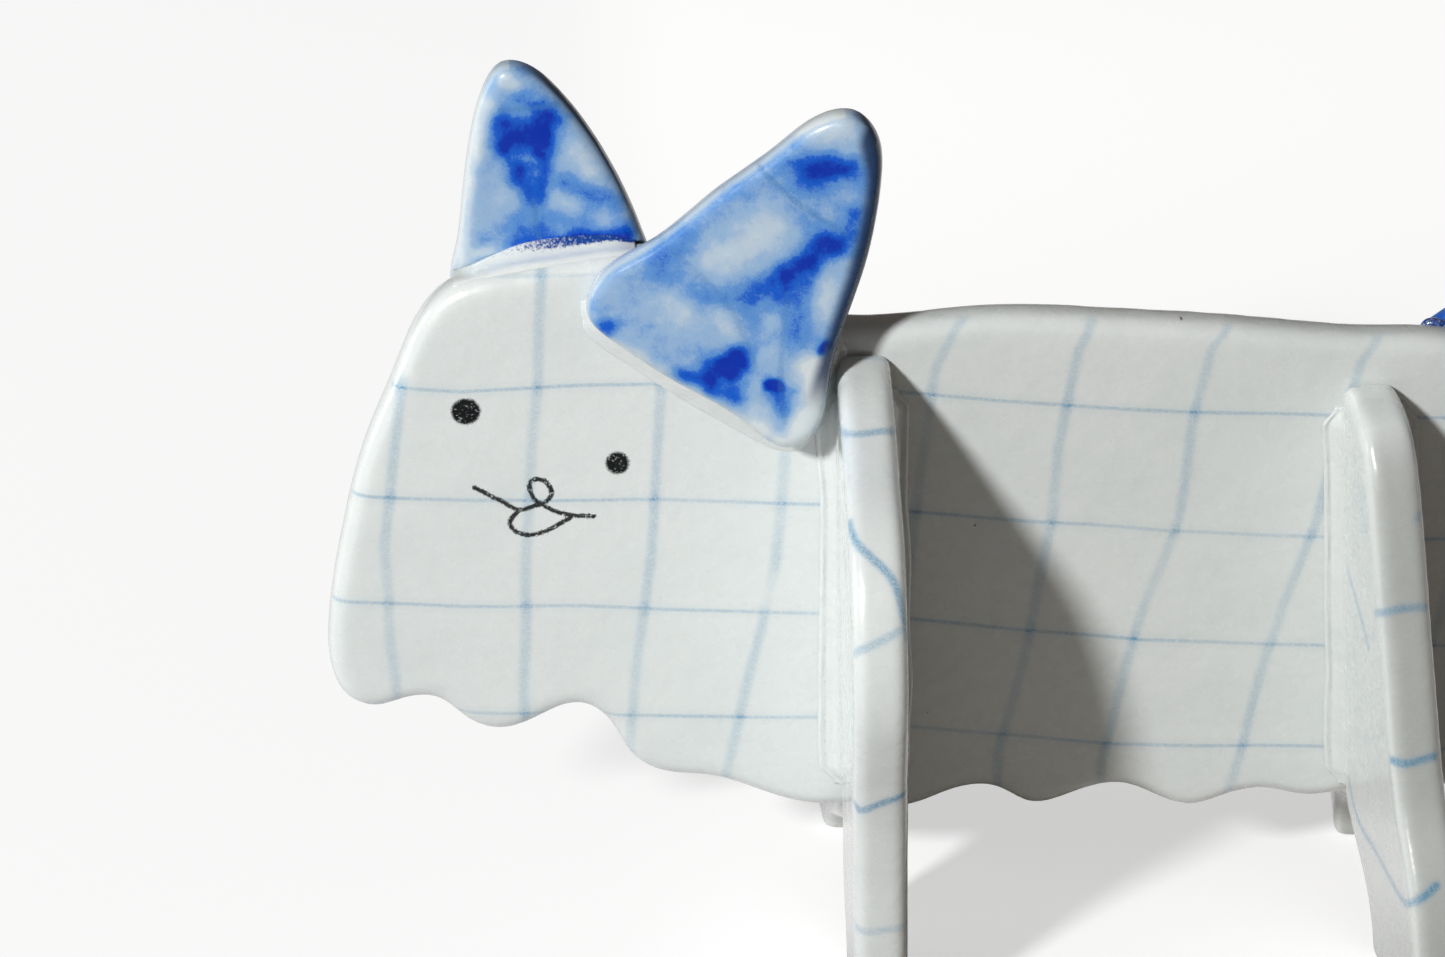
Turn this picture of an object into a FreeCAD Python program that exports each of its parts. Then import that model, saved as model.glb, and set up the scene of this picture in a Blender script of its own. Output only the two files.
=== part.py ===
import FreeCAD, Part
import math
import os

# Slab-built ceramic cat. All sizes are in millimetres and all angles in degrees.
# While building, X runs from the nose (negative) to the tail, Y = 0 is the middle of the
# body slab with the cat's left side at negative Y, and Z = 0 is the table.
# The finished pieces are moved together so that the origin is under the middle of the box.

SLAB_T = 5.2
SLAB_EDGE_R = 1.9

LEG_T = 5.6
LEG_EDGE_R = 1.5
LEG_ROOT = 1.6

EAR_T = 3.8
EAR_EDGE_R = 1.5

TAIL_T = 3.8
TAIL_EDGE_R = 1.4
TAIL_Y = SLAB_T / 2 + TAIL_T / 2

# Legs: x of the forward face at the body, yaw about the upright line there and tilt of the
# foot towards the tail, then the height that the tilt turns about. The legs on the cat's
# right side are cut a little lower.
FRONT_LEG_PLACE = (11.7, -1.8, 1.2)
REAR_LEG_PLACE = (63.1, 7.0, 3.3)
LEG_TILT_HEIGHT = 38.0
RIGHT_LEG_HEIGHT = 0.94

LEFT_EAR_YAW = -8.0
LEFT_EAR_PIVOT = (0.0, -5.2)
RIGHT_EAR_YAW = -4.0
RIGHT_EAR_PIVOT = (-17.0, 3.4)

# Slip beads along the legs: width on each face, thickness of their thin edges, the share of
# the width left at the middle of the hollow, and how far they are drawn into both slabs
# before they are trimmed.
BEAD = 1.9
BEAD_LIP = 0.3
BEAD_HOLLOW = 0.38
BEAD_BITE = 1.0

# Side outline of the head-and-body slab, as (x, z), clockwise from the chin.
BODY_OUTLINE = [
    (-36.0, 26.2), (-38.6, 27.8), (-39.9, 31.5), (-39.9, 36.0), (-39.2, 41.0),
    (-37.8, 48.0), (-35.6, 56.0), (-32.8, 63.0), (-29.8, 69.8), (-27.0, 72.7),
    (-22.0, 74.2), (-15.0, 75.4), (-8.0, 76.0), (-2.0, 75.0), (4.0, 71.2),
    (9.0, 68.5), (15.0, 67.7), (25.0, 68.4), (38.0, 67.9), (52.0, 66.6),
    (66.0, 65.2), (75.0, 64.2), (78.6, 62.0), (80.2, 57.0), (80.6, 46.0),
    (79.8, 33.0), (78.6, 22.0), (77.2, 15.4), (74.6, 12.6), (70.8, 12.3),
    (67.2, 12.9), (63.8, 12.7), (60.9, 12.4), (56.6, 13.4), (52.6, 12.9),
    (49.0, 11.8), (45.6, 12.7), (41.6, 14.5), (37.0, 13.8), (31.9, 12.6),
    (28.2, 14.6), (24.0, 14.4), (19.5, 12.7), (14.0, 13.0), (8.4, 13.4),
    (3.8, 15.0), (-1.5, 16.9), (-6.5, 17.7), (-9.4, 19.8), (-12.0, 24.2),
    (-14.6, 25.8), (-18.0, 24.7), (-22.6, 23.1), (-26.0, 24.3), (-29.4, 27.0),
    (-32.6, 26.8),
]

# Leg outlines, as (distance out from the body's face, height). They run past the body's
# face and below the table, and both ends are trimmed there. The front legs are open under
# the belly, the right one more, so that their feet stand further out.
FRONT_LEG_OUTLINE = [
    (-LEG_ROOT, 65.0), (3.0, 64.6), (9.0, 62.8), (16.0, 60.0), (22.0, 57.6), (26.0, 54.6),
    (29.0, 50.0), (30.6, 45.0), (30.4, 38.5), (28.4, 32.5), (26.4, 26.0), (25.2, 18.0),
    (24.6, 10.0), (24.4, 2.0), (24.2, -4.0), (8.8, -4.0), (7.2, 0.6), (4.6, 3.0),
    (1.8, 5.4), (0.9, 9.0), (1.5, 12.4), (0.8, 15.4), (-LEG_ROOT, 17.6),
]
FRONT_RIGHT_LEG_OUTLINE = [
    (-LEG_ROOT, 65.0), (3.0, 64.6), (9.0, 62.8), (16.0, 60.0), (22.0, 57.6), (26.0, 54.6),
    (29.0, 50.0), (30.6, 45.0), (30.4, 38.5), (28.4, 32.5), (26.4, 26.0), (25.2, 18.0),
    (24.6, 10.0), (24.4, 2.0), (24.2, -4.0), (14.6, -4.0), (13.4, 1.2), (10.0, 3.8),
    (5.0, 6.9), (0.8, 10.6), (-LEG_ROOT, 15.0),
]
REAR_LEG_OUTLINE = [
    (-LEG_ROOT, 60.0), (3.6, 59.9), (7.2, 58.2), (9.8, 54.6), (11.2, 50.4), (12.7, 45.0),
    (14.0, 39.6), (15.6, 34.0), (17.3, 27.4), (19.4, 21.6), (22.6, 16.4), (25.6, 9.6),
    (26.8, 2.0), (26.8, -4.0), (10.4, -4.0), (9.2, 1.0), (7.0, 5.8), (3.8, 8.6),
    (0.4, 11.6), (-LEG_ROOT, 15.0),
]

# Ear outlines, as (x, z).
LEFT_EAR_OUTLINE = [
    (-13.4, 72.8), (-13.4, 70.2), (-10.6, 67.4), (-4.0, 63.0), (2.0, 59.4), (6.4, 56.8),
    (8.4, 57.8), (10.6, 65.0), (12.8, 73.0), (14.6, 80.0), (15.4, 86.2), (14.8, 90.4),
    (12.6, 92.6), (9.4, 92.2), (4.8, 88.6), (-1.2, 83.8), (-7.6, 78.2),
]
RIGHT_EAR_OUTLINE = [
    (-26.6, 70.0), (-24.6, 66.8), (-18.0, 65.0), (-9.0, 65.6), (-5.8, 68.4), (-6.6, 74.0),
    (-9.0, 80.4), (-12.4, 87.0), (-16.0, 91.8), (-18.8, 94.0), (-21.2, 94.3),
    (-23.2, 91.8), (-24.6, 86.4), (-25.4, 80.6), (-26.2, 75.0),
]

# Tail outline, as (x, z), on the far face of the rump.
TAIL_OUTLINE = [
    (63.4, 55.4), (66.8, 51.6), (71.0, 51.8), (77.0, 55.6), (84.0, 61.4), (90.4, 68.4),
    (95.8, 76.6), (99.2, 84.6), (100.0, 88.8), (98.6, 91.6), (95.6, 91.0), (93.2, 86.6),
    (88.8, 79.4), (83.0, 72.6), (76.4, 67.0), (70.0, 62.3), (65.4, 59.0),
]

# Ends of the slip beads, as heights on the legs.
FRONT_BEAD_Z = (16.4, 61.0)
REAR_BEAD_Z = (14.6, 57.8)

# Round slip beads at the ears and the tail: start and end as (x, z), then y and radius.
ROUND_BEADS = {
    "left_ear_seam": ((-12.4, 69.2), (6.6, 57.2), -3.3, 1.6),
    "right_ear_seam_top": ((-24.0, 73.6), (-9.6, 75.9), 0.9, 1.3),
    "right_ear_seam_under": ((-24.0, 66.4), (-8.4, 65.6), 3.0, 1.5),
    "tail_seam_top": ((71.8, 63.6), (78.0, 61.8), 2.5, 1.2),
    "tail_seam_under": ((66.4, 51.2), (77.8, 56.0), 3.0, 1.4),
}

# Legs: outline, x of the forward face, yaw, tilt and the heights of their beads.
LEGS = {
    "front_left": (FRONT_LEG_OUTLINE, *FRONT_LEG_PLACE, FRONT_BEAD_Z),
    "front_right": (FRONT_RIGHT_LEG_OUTLINE, *FRONT_LEG_PLACE, FRONT_BEAD_Z),
    "rear_left": (REAR_LEG_OUTLINE, *REAR_LEG_PLACE, REAR_BEAD_Z),
    "rear_right": (REAR_LEG_OUTLINE, *REAR_LEG_PLACE, REAR_BEAD_Z),
}


def vector(x, y, z):
    return FreeCAD.Vector(x, y, z)


def smooth_face(points):
    """A flat face in the XZ plane inside a smooth closed curve through the points."""
    curve = Part.BSplineCurve()
    curve.interpolate([vector(x, 0, z) for x, z in points], PeriodicFlag=True)
    return Part.Face(Part.Wire(curve.toShape()))


def slab(face, thickness, edge_radius):
    """A clay slab: the face given a thickness about Y = 0, with its long edges rounded."""
    solid = face.extrude(vector(0, thickness, 0))
    solid.translate(vector(0, -thickness / 2, 0))
    rims = [e for e in solid.Edges if abs(e.BoundBox.YMax - e.BoundBox.YMin) < 0.01]
    return solid.makeFillet(edge_radius, rims)


def leg_height(name):
    """How tall this leg is cut, as a share of its outline."""
    return RIGHT_LEG_HEIGHT if name.endswith("right") else 1.0


def leg_place(solid, name, x, yaw, tilt):
    """Stands a leg shape, drawn as (distance out, thickness, height), against the body."""
    solid.rotate(vector(0, 0, 0), vector(0, 0, 1), -90)
    solid.translate(vector(LEG_T / 2, 0, 0))
    solid.rotate(vector(0, 0, LEG_TILT_HEIGHT), vector(0, 1, 0), -tilt)
    solid.rotate(vector(0, 0, 0), vector(0, 0, 1), yaw)
    solid.translate(vector(x, -SLAB_T / 2, 0))
    if name.endswith("right"):
        solid = solid.mirror(vector(0, 0, 0), vector(0, 1, 0))
    return solid


def leg_bead(bottom, top, yaw, end):
    """A slip bead with a hollow face, drawn like a leg, along its fore or aft corner."""
    face_y = -LEG_T / 2
    root = 0.0
    if end == "aft":
        root = LEG_T * math.tan(math.radians(yaw))
    corner = vector(root - BEAD_BITE, face_y + BEAD_BITE, bottom)
    body_end = vector(root - BEAD_BITE, face_y - BEAD, bottom)
    body_lip = vector(root + BEAD_LIP, face_y - BEAD, bottom)
    hollow = vector(root + BEAD * BEAD_HOLLOW, face_y - BEAD * BEAD_HOLLOW, bottom)
    leg_lip = vector(root + BEAD, face_y - BEAD_LIP, bottom)
    leg_end = vector(root + BEAD, face_y + BEAD_BITE, bottom)
    edges = [
        Part.makeLine(corner, body_end),
        Part.makeLine(body_end, body_lip),
        Part.Arc(body_lip, hollow, leg_lip).toShape(),
        Part.makeLine(leg_lip, leg_end),
        Part.makeLine(leg_end, corner),
    ]
    bead = Part.Face(Part.Wire(edges)).extrude(vector(0, 0, top - bottom))
    if end == "aft":
        bead = bead.mirror(vector(0, 0, 0), vector(0, 1, 0))
    return bead


def round_bead(start, end, y, radius):
    """A round slip bead with domed ends."""
    first = vector(start[0], y, start[1])
    last = vector(end[0], y, end[1])
    run = last - first
    bead = Part.makeCylinder(radius, run.Length, first, run)
    return bead.fuse([Part.makeSphere(radius, first), Part.makeSphere(radius, last)])


def yawed(solid, pivot, yaw):
    """Moves a slab drawn about Y = 0 to the pivot and turns it about the upright line there."""
    solid.translate(vector(0, pivot[1], 0))
    solid.rotate(vector(pivot[0], pivot[1], 0), vector(0, 0, 1), yaw)
    return solid


def largest(shape):
    """The biggest solid of a cut, so that no crumb of it is kept."""
    return max(shape.Solids, key=lambda s: s.Volume)


def make_slabs():
    """The eight clay slabs, each trimmed where it is pressed against the body."""
    body = largest(slab(smooth_face(BODY_OUTLINE), SLAB_T, SLAB_EDGE_R))
    table = Part.makeBox(400, 200, 50, vector(-200, -100, -50))
    slabs = {"body_slab": body}
    for name, (outline, x, yaw, tilt, _) in LEGS.items():
        height = leg_height(name)
        face = smooth_face([(out, z * height) for out, z in outline])
        leg = leg_place(slab(face, LEG_T, LEG_EDGE_R), name, x, yaw, tilt)
        slabs[f"{name}_leg"] = largest(leg.cut(body).cut(table))
    left_ear = slab(smooth_face(LEFT_EAR_OUTLINE), EAR_T, EAR_EDGE_R)
    left_ear = yawed(left_ear, LEFT_EAR_PIVOT, LEFT_EAR_YAW)
    slabs["left_ear"] = largest(left_ear.cut(body))
    right_ear = slab(smooth_face(RIGHT_EAR_OUTLINE), EAR_T, EAR_EDGE_R)
    right_ear = yawed(right_ear, RIGHT_EAR_PIVOT, RIGHT_EAR_YAW)
    slabs["right_ear"] = largest(right_ear.cut(body))
    tail = slab(smooth_face(TAIL_OUTLINE), TAIL_T, TAIL_EDGE_R)
    tail.translate(vector(0, TAIL_Y, 0))
    slabs["tail"] = largest(tail.cut(body))
    return slabs


def make_seams(slabs):
    """The slip beads, each trimmed by every slab so that it meets them face to face."""
    beads = {name: round_bead(*sizes) for name, sizes in ROUND_BEADS.items()}
    for name, (_, x, yaw, tilt, (bottom, top)) in LEGS.items():
        for end in ("fore", "aft"):
            bead = leg_bead(bottom, top * leg_height(name), yaw, end)
            beads[f"{name}_leg_seam_{end}"] = leg_place(bead, name, x, yaw, tilt)
    seams = {}
    for name, bead in beads.items():
        near = [other for other in slabs.values() if bead.BoundBox.intersect(other.BoundBox)]
        seams[name] = largest(bead.cut(near))
    return seams


def main():
    slabs = make_slabs()
    pieces = {**slabs, **make_seams(slabs)}
    box = Part.makeCompound(list(pieces.values())).optimalBoundingBox()
    to_origin = vector(-box.Center.x, -box.Center.y, -box.ZMin)
    os.makedirs("parts", exist_ok=True)
    for name, solid in pieces.items():
        solid.translate(to_origin)
        solid.exportStep(f"parts/{name}.step")
        print(f"{name:28s} valid {solid.isValid()} volume {solid.Volume:9.1f} mm3")
    print(f"box {box.XLength:.1f} x {box.YLength:.1f} x {box.ZLength:.1f} mm, moved {to_origin}")


main()
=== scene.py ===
"""Looks of the slab-built porcelain cat: glazed slabs, slip seams, the drawn grid and the blue washes."""
import math

import bmesh
import bpy
import numpy as np
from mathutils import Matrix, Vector


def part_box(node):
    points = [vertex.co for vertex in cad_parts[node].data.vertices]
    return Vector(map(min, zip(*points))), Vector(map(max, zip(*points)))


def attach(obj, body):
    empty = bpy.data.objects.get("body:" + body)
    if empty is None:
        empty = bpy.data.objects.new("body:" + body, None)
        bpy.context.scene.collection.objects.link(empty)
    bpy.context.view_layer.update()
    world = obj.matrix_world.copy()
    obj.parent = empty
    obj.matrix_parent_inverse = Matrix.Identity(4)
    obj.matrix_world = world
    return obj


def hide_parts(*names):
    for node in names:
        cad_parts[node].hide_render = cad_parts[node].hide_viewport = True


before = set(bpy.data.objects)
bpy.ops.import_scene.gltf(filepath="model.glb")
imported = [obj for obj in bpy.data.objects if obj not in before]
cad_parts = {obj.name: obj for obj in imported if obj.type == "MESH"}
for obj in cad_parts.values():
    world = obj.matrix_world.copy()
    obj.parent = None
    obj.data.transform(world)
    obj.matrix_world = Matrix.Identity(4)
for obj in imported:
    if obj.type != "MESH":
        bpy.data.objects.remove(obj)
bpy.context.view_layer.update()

MM = 0.001
NO_LINE = 9.0  # distance in mm kept where no drawn line is near

# ---------------------------------------------------------------- camera

AIM = Vector((-0.0300, -0.0026, 0.0516))
CAMERA_ELEVATION = math.radians(26.0)
CAMERA_YAW = math.radians(3.5)
CAMERA_DISTANCE = 0.550
LENS_MM = 137.0
SENSOR_MM = 36.0
look = Vector((
    math.sin(CAMERA_YAW) * math.cos(CAMERA_ELEVATION),
    math.cos(CAMERA_YAW) * math.cos(CAMERA_ELEVATION),
    -math.sin(CAMERA_ELEVATION),
))
camera = bpy.data.objects.new("camera", bpy.data.cameras.new("camera"))
camera.data.lens = LENS_MM
camera.data.sensor_width = SENSOR_MM
camera.location = AIM - CAMERA_DISTANCE * look
camera.rotation_euler = (-look).to_track_quat("Z", "Y").to_euler()
bpy.context.scene.collection.objects.link(camera)
bpy.context.scene.camera = camera
bpy.context.scene.view_settings.view_transform = "Standard"


# ---------------------------------------------------------------- node helper

class Nodes:
    """Short calls for building one material's node tree."""

    def __init__(self, name):
        self.material = bpy.data.materials.new(name)
        self.material.use_nodes = True
        self.tree = self.material.node_tree
        self.tree.nodes.clear()

    def node(self, kind, **settings):
        made = self.tree.nodes.new(kind)
        for key, value in settings.items():
            setattr(made, key, value)
        return made

    def put(self, socket, value):
        if isinstance(value, bpy.types.NodeSocket):
            self.tree.links.new(value, socket)
        elif value is not None:
            if socket.type == "RGBA" and len(value) == 3:
                value = (*value, 1.0)
            socket.default_value = value

    def attribute(self, name):
        return self.node("ShaderNodeAttribute", attribute_name=name).outputs["Fac"]

    def place(self):
        return self.node("ShaderNodeTexCoord").outputs["Object"]

    def math(self, operation, a, b=None, c=None, clamp=False):
        made = self.node("ShaderNodeMath", operation=operation, use_clamp=clamp)
        for socket, value in zip(made.inputs, (a, b, c)):
            self.put(socket, value)
        return made.outputs[0]

    def step(self, value, low, high, to_low=0.0, to_high=1.0):
        """Smooth change from to_low to to_high as value goes from low to high."""
        made = self.node("ShaderNodeMapRange", interpolation_type="SMOOTHSTEP")
        for socket, given in zip(made.inputs, (value, low, high, to_low, to_high)):
            self.put(socket, given)
        return made.outputs[0]

    def noise(self, size_mm, detail=2.0, roughness=0.5):
        """Noise from 0 to 1 whose features are about size_mm across."""
        made = self.node("ShaderNodeTexNoise")
        self.put(made.inputs["Vector"], self.place())
        self.put(made.inputs["Scale"], 1.0 / (size_mm * MM))
        self.put(made.inputs["Detail"], detail)
        self.put(made.inputs["Roughness"], roughness)
        return made.outputs["Fac"]

    def mix(self, factor, a, b):
        made = self.node("ShaderNodeMix", data_type="RGBA", blend_type="MIX")
        self.put(made.inputs[0], factor)
        self.put(made.inputs[6], a)
        self.put(made.inputs[7], b)
        return made.outputs[2]

    def ramp(self, value, stops):
        made = self.node("ShaderNodeValToRGB")
        made.color_ramp.interpolation = "EASE"
        elements = made.color_ramp.elements
        while len(elements) < len(stops):
            elements.new(0.5)
        for element, (position, colour) in zip(elements, stops):
            element.position = position
            element.color = (*colour, 1.0)
        self.put(made.inputs[0], value)
        return made.outputs[0]

    def bump(self, height, distance_mm, normal=None):
        made = self.node("ShaderNodeBump")
        self.put(made.inputs["Strength"], 1.0)
        self.put(made.inputs["Distance"], distance_mm * MM)
        self.put(made.inputs["Height"], height)
        self.put(made.inputs["Normal"], normal)
        return made.outputs[0]


# ---------------------------------------------------------------- mesh helpers

def lattice_noise(points, size, seed):
    """Smooth noise from 0 to 1 at points, with features about size across. Same result every run."""
    cells = 32
    table = np.random.default_rng(seed).random((cells, cells, cells))
    scaled = points / size
    base = np.floor(scaled).astype(int)
    part = scaled - base
    part = part * part * (3 - 2 * part)
    total = np.zeros(len(points))
    for corner in range(8):
        offset = np.array([corner & 1, corner >> 1 & 1, corner >> 2 & 1])
        index = (base + offset) % cells
        weight = np.prod(np.where(offset, part, 1 - part), axis=1)
        total += weight * table[index[:, 0], index[:, 1], index[:, 2]]
    return total


def coordinates(mesh):
    flat = np.zeros(len(mesh.vertices) * 3)
    mesh.vertices.foreach_get("co", flat)
    return flat.reshape(-1, 3)


def normals(mesh):
    flat = np.zeros(len(mesh.vertices) * 3)
    mesh.vertex_normals.foreach_get("vector", flat)
    return flat.reshape(-1, 3)


def keep_attribute(mesh, name, values):
    attribute = mesh.attributes.new(name, "FLOAT", "POINT")
    attribute.data.foreach_set("value", np.asarray(values, np.float32))


BODY_VOXEL = 0.50
LEG_VOXEL = 0.29
WASH_VOXEL = 0.26
BEAD_VOXEL = 0.17


def dense_copy(node, voxel_mm, smooth_rounds=8):
    """A new object with the CAD node's shape as one even, fine mesh that can take hand-made unevenness."""
    piece = bpy.data.objects.new(node + "_glazed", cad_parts[node].data.copy())
    bpy.context.scene.collection.objects.link(piece)
    remesh = piece.modifiers.new("remesh", "REMESH")
    remesh.mode = "VOXEL"
    remesh.voxel_size = voxel_mm * MM
    relax = piece.modifiers.new("relax", "SMOOTH")
    relax.factor = 0.5
    relax.iterations = smooth_rounds
    solved = piece.evaluated_get(bpy.context.evaluated_depsgraph_get())
    mesh = bpy.data.meshes.new_from_object(solved)
    piece.modifiers.clear()
    piece.data = mesh
    mesh.name = node
    mesh.shade_smooth()
    return piece


def hand_press(piece, depth_mm, size_mm, seed):
    """Presses the surface inward a little, unevenly, as fingers leave soft clay."""
    mesh = piece.data
    points = coordinates(mesh)
    broad = lattice_noise(points / MM, size_mm, seed)
    close = lattice_noise(points / MM, size_mm * 0.35, seed + 1)
    depth = depth_mm * MM * (0.75 * broad + 0.25 * close)
    points -= normals(mesh) * depth[:, None]
    mesh.vertices.foreach_set("co", points.ravel())
    mesh.update()


def flowing(points, steps=6):
    """A smooth open path through the given points."""
    given = np.array(points, float)
    padded = np.vstack([2 * given[0] - given[1], given, 2 * given[-1] - given[-2]])
    path = []
    for i in range(1, len(padded) - 2):
        a, b, c, d = padded[i - 1:i + 3]
        for t in np.arange(steps) / steps:
            path.append(0.5 * (2 * b + (c - a) * t + (2 * a - 5 * b + 4 * c - d) * t ** 2
                               + (3 * b - a - 3 * c + d) * t ** 3))
    path.append(given[-1])
    return np.array(path)


def distance_to_path(points, path):
    """Distance of each point from a path of straight runs, in the units of both."""
    best = np.full(len(points), 1e9)
    for start, end in zip(path[:-1], path[1:]):
        run = end - start
        along = np.clip((points - start) @ run / max(run @ run, 1e-12), 0, 1)
        away = points - start - along[:, None] * run
        best = np.minimum(best, np.sqrt((away ** 2).sum(axis=1)))
    return best


def refine(piece, keep, cuts):
    """Divides the faces whose centre keep(x, y, z in mm) accepts."""
    work = bmesh.new()
    work.from_mesh(piece.data)
    chosen = {edge for face in work.faces if keep(*(face.calc_center_median() / MM)) for edge in face.edges}
    bmesh.ops.subdivide_edges(work, edges=list(chosen), cuts=cuts, use_grid_fill=True)
    work.to_mesh(piece.data)
    work.free()
    piece.data.shade_smooth()


def settle(piece, node, material):
    """Gives the piece its finish, hangs it under the root and hides the CAD part it stands for."""
    piece.data.materials.clear()
    piece.data.materials.append(material)
    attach(piece, "root")
    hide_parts(node)


# ---------------------------------------------------------------- glaze

WHITE = (0.775, 0.815, 0.805)
POOLED = (0.70, 0.76, 0.755)
SPECK = (0.12, 0.08, 0.06)
FAINT_GRAIN = (0.55, 0.56, 0.52)
# Grey of the painted shade on the rear legs' outer end faces.
REAR_END_SHADE = (0.44, 0.465, 0.445)
# Painted shade of small pits in the seams' grooves.
PIT_SHADE = (0.26, 0.22, 0.17)
PENCIL_BLUE = (0.055, 0.29, 0.50)
WASHED_LINE = (0.06, 0.20, 0.46)
# Dark aft rims of the washes: pooled cobalt, made as dark as it looks in shade, so partly painted shade.
RIM_POOL_AND_SHADE = (0.012, 0.035, 0.105)
SEAM_STAIN = (0.004, 0.055, 0.30)
GRAPHITE = (0.003, 0.005, 0.005)
# From the thinnest wash to the thickest, as (density, colour).
COBALT = (
    (0.0, (0.64, 0.70, 0.72)),
    (0.20, (0.47, 0.58, 0.69)),
    (0.42, (0.29, 0.45, 0.67)),
    (0.62, (0.105, 0.28, 0.64)),
    (0.80, (0.004, 0.10, 0.58)),
    (1.0, (0.0, 0.028, 0.40)),
)
GLAZE_IOR = 1.5
GLAZE_ROUGHNESS = 0.035


def glaze_surface(m, colour, relief_scale=1.0, body_scatter=0.12, gloss=1.0):
    """The clear glaze: a wet gloss with orange peel, over a slightly rough clay colour."""
    peel = m.noise(0.9 * relief_scale, 2.0, 0.55)
    ripple = m.noise(5.0 * relief_scale, 2.0, 0.5)
    relief = m.bump(ripple, 0.16)
    relief = m.bump(peel, 0.018, normal=relief)
    shader = m.node("ShaderNodeBsdfPrincipled")
    m.put(shader.inputs["Base Color"], colour)
    m.put(shader.inputs["Roughness"], m.step(m.noise(2.2, 3.0), 0.3, 0.7, 0.20, 0.34))
    m.put(shader.inputs["IOR"], GLAZE_IOR)
    m.put(shader.inputs["Subsurface Weight"], body_scatter)
    m.put(shader.inputs["Subsurface Radius"], (1.0, 0.9, 0.75))
    m.put(shader.inputs["Subsurface Scale"], 0.0009)
    m.put(shader.inputs["Specular IOR Level"], 0.5 * gloss)
    m.put(shader.inputs["Coat Weight"], gloss)
    m.put(shader.inputs["Coat Roughness"], GLAZE_ROUGHNESS)
    m.put(shader.inputs["Coat IOR"], GLAZE_IOR)
    m.put(shader.inputs["Normal"], relief)
    m.put(shader.inputs["Coat Normal"], relief)
    output = m.node("ShaderNodeOutputMaterial")
    m.put(output.inputs["Surface"], shader.outputs[0])
    return m.material


def white_clay(m):
    """Off-white porcelain with faint clouds, fine grain and iron specks."""
    clouds = m.noise(9.0, 3.0, 0.6)
    colour = m.mix(m.step(clouds, 0.35, 0.75, 0.0, 0.45), WHITE, POOLED)
    grain = m.noise(0.25, 2.0, 0.7)
    colour = m.mix(m.step(grain, 0.3, 0.7, 0.0, 0.06), colour, FAINT_GRAIN)
    cells = m.node("ShaderNodeTexVoronoi", feature="F1")
    m.put(cells.inputs["Scale"], 1 / (4.2 * MM))
    flat = m.node("ShaderNodeMapping")
    m.put(flat.inputs["Vector"], m.place())
    flat.inputs["Scale"].default_value = (1.0, 0.35, 1.0)
    m.put(cells.inputs["Vector"], flat.outputs[0])
    separate = m.node("ShaderNodeSeparateColor")
    m.put(separate.inputs[0], cells.outputs["Color"])
    chosen = m.step(separate.outputs[0], 0.45, 0.75)
    size = m.math("MULTIPLY", chosen, 0.042)
    speck = m.step(m.math("SUBTRACT", size, cells.outputs["Distance"]), 0.0, 0.018)
    return m.mix(m.math("MULTIPLY", speck, 0.75), colour, SPECK)


def pencil(m, distance, half_width, softness, strength, grain_mm=0.22):
    """How much blue a drawn line leaves: a grainy core that fades out, with a faint bleed round it."""
    wander = m.math("MULTIPLY", m.math("SUBTRACT", m.noise(1.6, 2.0), 0.5), 0.35 * half_width)
    away = m.math("ADD", distance, wander)
    core = m.step(away, half_width, half_width + softness, 1.0, 0.0)
    grain = m.step(m.noise(grain_mm, 2.0, 0.75), 0.30, 0.62, 0.45, 1.0)
    bleed = m.step(away, 0.0, half_width + 1.1, 0.16, 0.0)
    ink = m.math("MAXIMUM", m.math("MULTIPLY", core, grain), bleed)
    return m.math("MULTIPLY", ink, strength)


def grid_ink(m):
    """Blue of the drawn grid, from the line numbers kept on the mesh: lines lie where a number is whole."""
    inks = []
    for number, pitch, pressure, width, soft, most in (
        ("across", "across_pitch", "across_ink", 0.12, 0.80, 0.34),
        ("down", "down_pitch", "down_ink", 0.05, 0.30, 0.46),
    ):
        value = m.attribute(number)
        apart = m.math("ABSOLUTE", m.math("SUBTRACT", value, m.math("ROUND", value)))
        distance = m.math("MULTIPLY", apart, m.attribute(pitch))
        strength = m.math("MULTIPLY", m.attribute(pressure), most)
        inks.append(pencil(m, distance, width, soft, strength))
    return m.math("ADD", inks[0], inks[1], clamp=True)


def clay_with_grid():
    m = Nodes("white_glaze_grid")
    colour = m.mix(grid_ink(m), white_clay(m), PENCIL_BLUE)
    stroke, eye = m.attribute("stroke"), m.attribute("eye")
    grain = m.noise(0.20, 3.0, 0.8)
    wobble = m.math("MULTIPLY", m.math("SUBTRACT", grain, 0.5), 0.62)
    line = m.step(m.math("ADD", stroke, wobble), 0.16, 0.32, 0.97, 0.0)
    dot = m.step(m.math("ADD", eye, wobble), -0.22, 0.14, 1.0, 0.0)
    gaps = m.step(m.noise(0.24, 1.0, 0.6), 0.60, 0.70, 1.0, 0.40)
    bare = m.step(m.noise(0.24, 1.0, 0.6), 0.58, 0.74, 1.0, 0.60)
    mark = m.math("MAXIMUM", m.math("MULTIPLY", line, gaps), m.math("MULTIPLY", dot, bare))
    return glaze_surface(m, m.mix(mark, colour, GRAPHITE))


def clay_with_strokes():
    m = Nodes("white_glaze_strokes")
    ink = pencil(m, m.attribute("blue_line"), 0.10, 0.66, m.attribute("blue_ink"))
    # Painted shade: the rear legs' outer end faces are darkened.
    clay = m.mix(m.attribute("end_face_shade"), white_clay(m), REAR_END_SHADE)
    return glaze_surface(m, m.mix(ink, clay, PENCIL_BLUE))


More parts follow.
